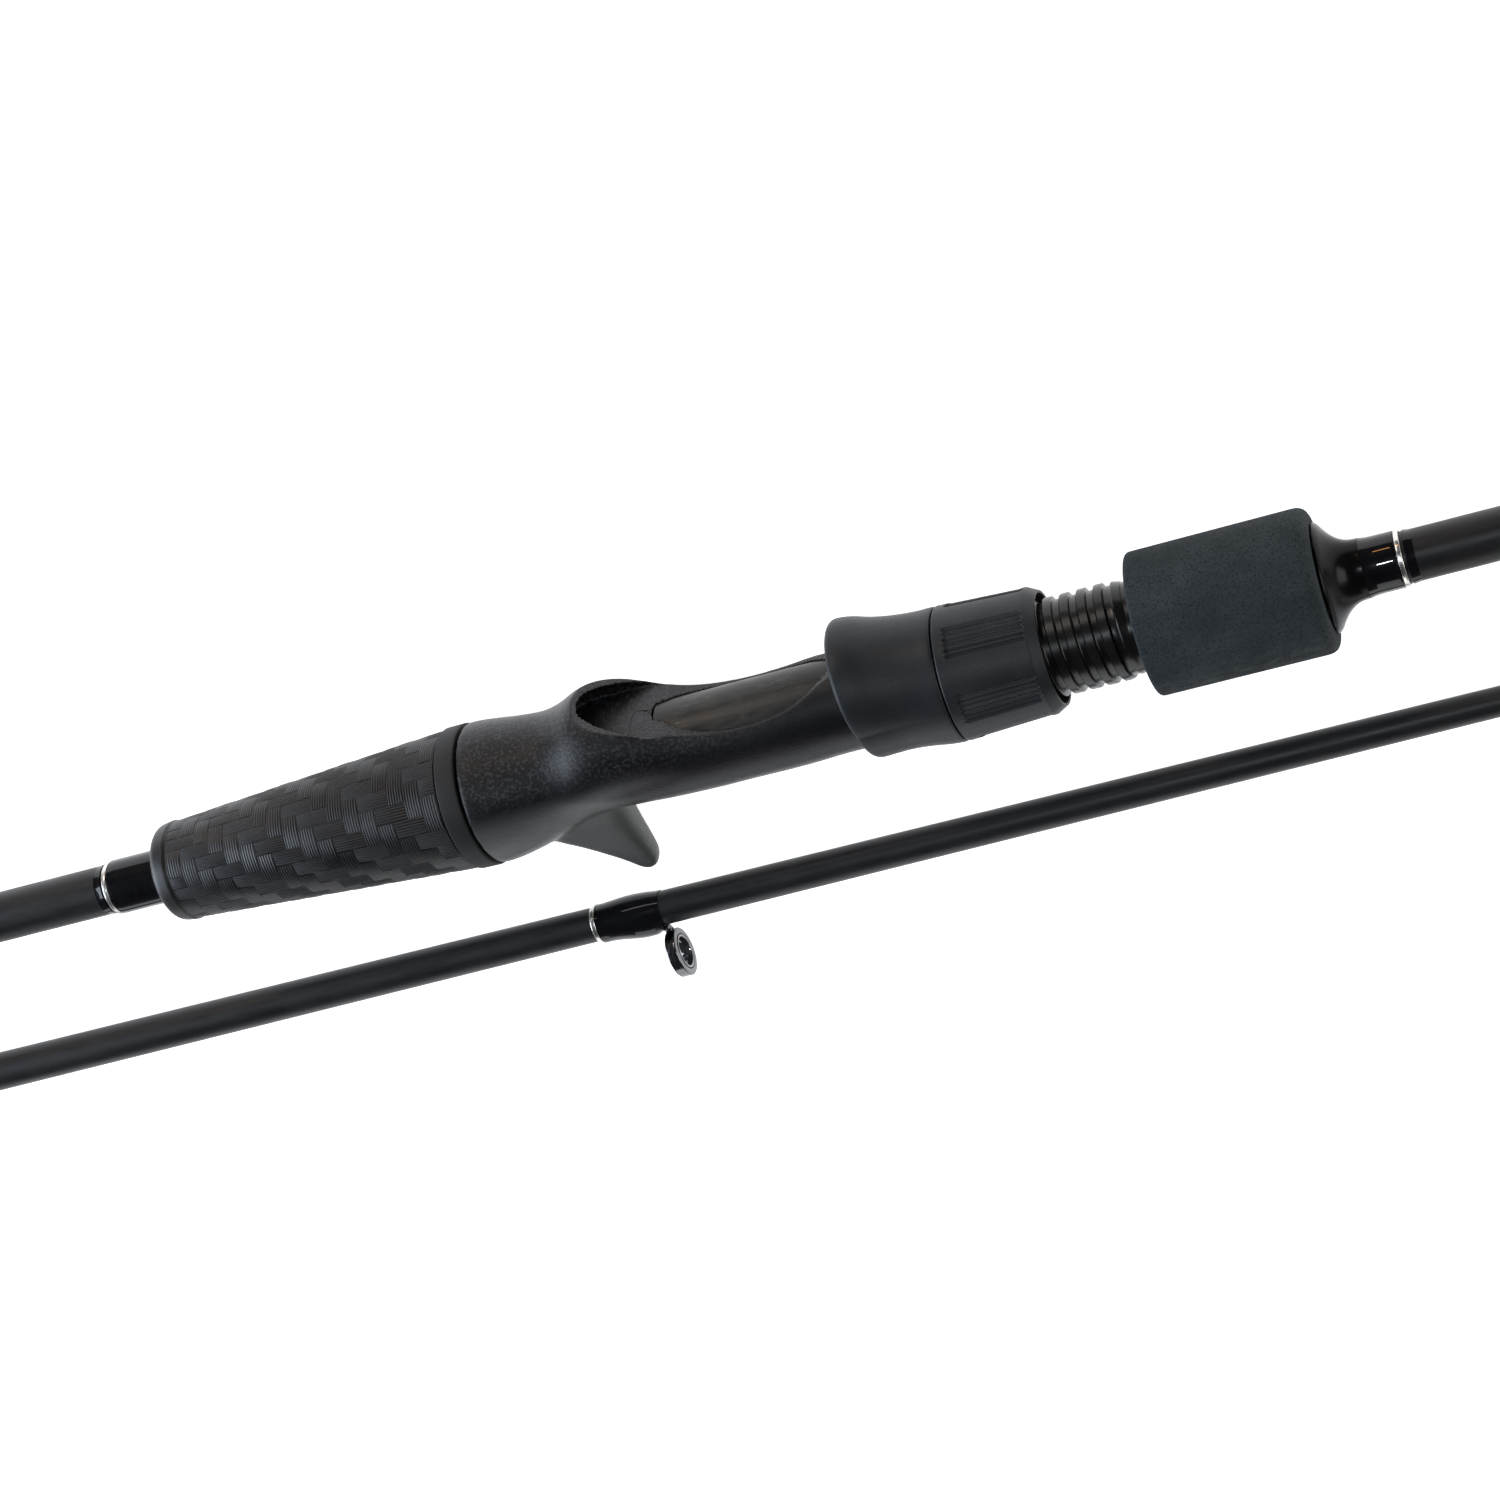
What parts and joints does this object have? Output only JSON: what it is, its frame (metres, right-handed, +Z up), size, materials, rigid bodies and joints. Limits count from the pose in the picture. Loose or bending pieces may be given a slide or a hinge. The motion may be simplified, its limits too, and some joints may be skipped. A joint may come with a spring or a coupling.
{
  "type": "fishing rod",
  "caption": "Take-apart baitcasting fishing rod without a reel: woven-look grip, reel seat with trigger, sliding hood and lock nut, foam foregrip, and a separate tip section with line guides.",
  "frame": {"origin": "centre of the bounding box's base, on the surface that both sections lie on", "axes": "+X along the rod from butt to tip, +Z up from the surface, +Y towards the side that the reel seat's deck faces"},
  "size_m": [1.0278, 0.0674, 0.0283],
  "materials": {
    "carbon": "satin woven carbon fibre under a thin matt lacquer",
    "gloss": "high-gloss clear varnish over black thread",
    "seat": "fine-grained black moulding with a soft sheen",
    "hood": "satin blue-black moulding",
    "rubber": "matt moulded rubber with a pressed woven pattern",
    "foam": "matt closed-cell foam, sanded",
    "core": "plain filled foam, hidden",
    "silver": "polished trim band",
    "frame": "dark polished wire",
    "ceramic": "polished black ceramic"
  },
  "bodies": {
    "butt_section": {"butt_blank": "carbon", "butt_grip": "foam", "butt_check": "gloss", "butt_grip_wrap": "gloss", "butt_grip_trim_ring": "silver", "butt_cap": "rubber", "rear_grip": "rubber", "rear_grip_core": "core", "grip_collar": "rubber", "rear_grip_wrap": "gloss", "rear_grip_trim_ring": "silver", "reel_seat_body": "seat", "deck_insert": "carbon", "rear_bushing": "core", "front_bushing": "core", "foregrip": "foam", "winding_check": "gloss", "front_wrap": "gloss", "front_trim_ring": "silver", "stripper_guide_frame": "frame", "stripper_guide_ring": "ceramic", "stripper_guide_rear_wrap": "gloss", "stripper_guide_rear_trim_ring": "silver", "stripper_guide_front_wrap": "gloss", "belly_guide_frame": "frame", "belly_guide_ring": "ceramic", "belly_guide_wrap": "gloss", "belly_guide_trim_ring": "silver", "butt_ferrule_wrap": "gloss", "butt_ferrule_trim_ring": "silver"},
    "sliding_hood": {"hood": "hood"},
    "lock_nut": {"nut": "hood", "nut_washer": "silver"},
    "tip_section": {"tip_blank": "carbon", "ferrule_sleeve": "carbon", "ferrule_wrap": "gloss", "ferrule_trim_ring": "silver", "guide_1_frame": "frame", "guide_1_ring": "ceramic", "guide_1_wrap": "gloss", "guide_1_trim_ring": "silver", "guide_2_frame": "frame", "guide_2_ring": "ceramic", "guide_2_wrap": "gloss", "guide_2_trim_ring": "silver", "guide_3_frame": "frame", "guide_3_ring": "ceramic", "guide_3_wrap": "gloss", "guide_3_trim_ring": "silver", "guide_4_frame": "frame", "guide_4_ring": "ceramic", "guide_4_wrap": "gloss", "guide_4_trim_ring": "silver", "guide_5_frame": "frame", "guide_5_ring": "ceramic", "guide_5_wrap": "gloss", "tip_top_frame": "frame", "tip_top_ring": "ceramic"}
  },
  "joints": [
    {"name": "hood_slide", "type": "slide", "parent": "butt_section", "child": "sliding_hood", "axis": [1, 0, 0], "range_m": [-0.0041, 0.0161]},
    {"name": "nut_turn", "type": "hinge", "parent": "sliding_hood", "child": "lock_nut", "pos_m": [-0.18189, 0.01413, 0.01419], "axis": [1, 0, 0], "range_deg": [-450, 1800]},
    {"name": "tip_section_lift", "type": "slide", "parent": "butt_section", "child": "tip_section", "axis": [0, 0, 1], "range_m": [0, 0.25]}
  ],
  "couplings": [
    {"joint": "hood_slide", "follows": "nut_turn", "m_per_rad": 0.0005093}
  ]
}
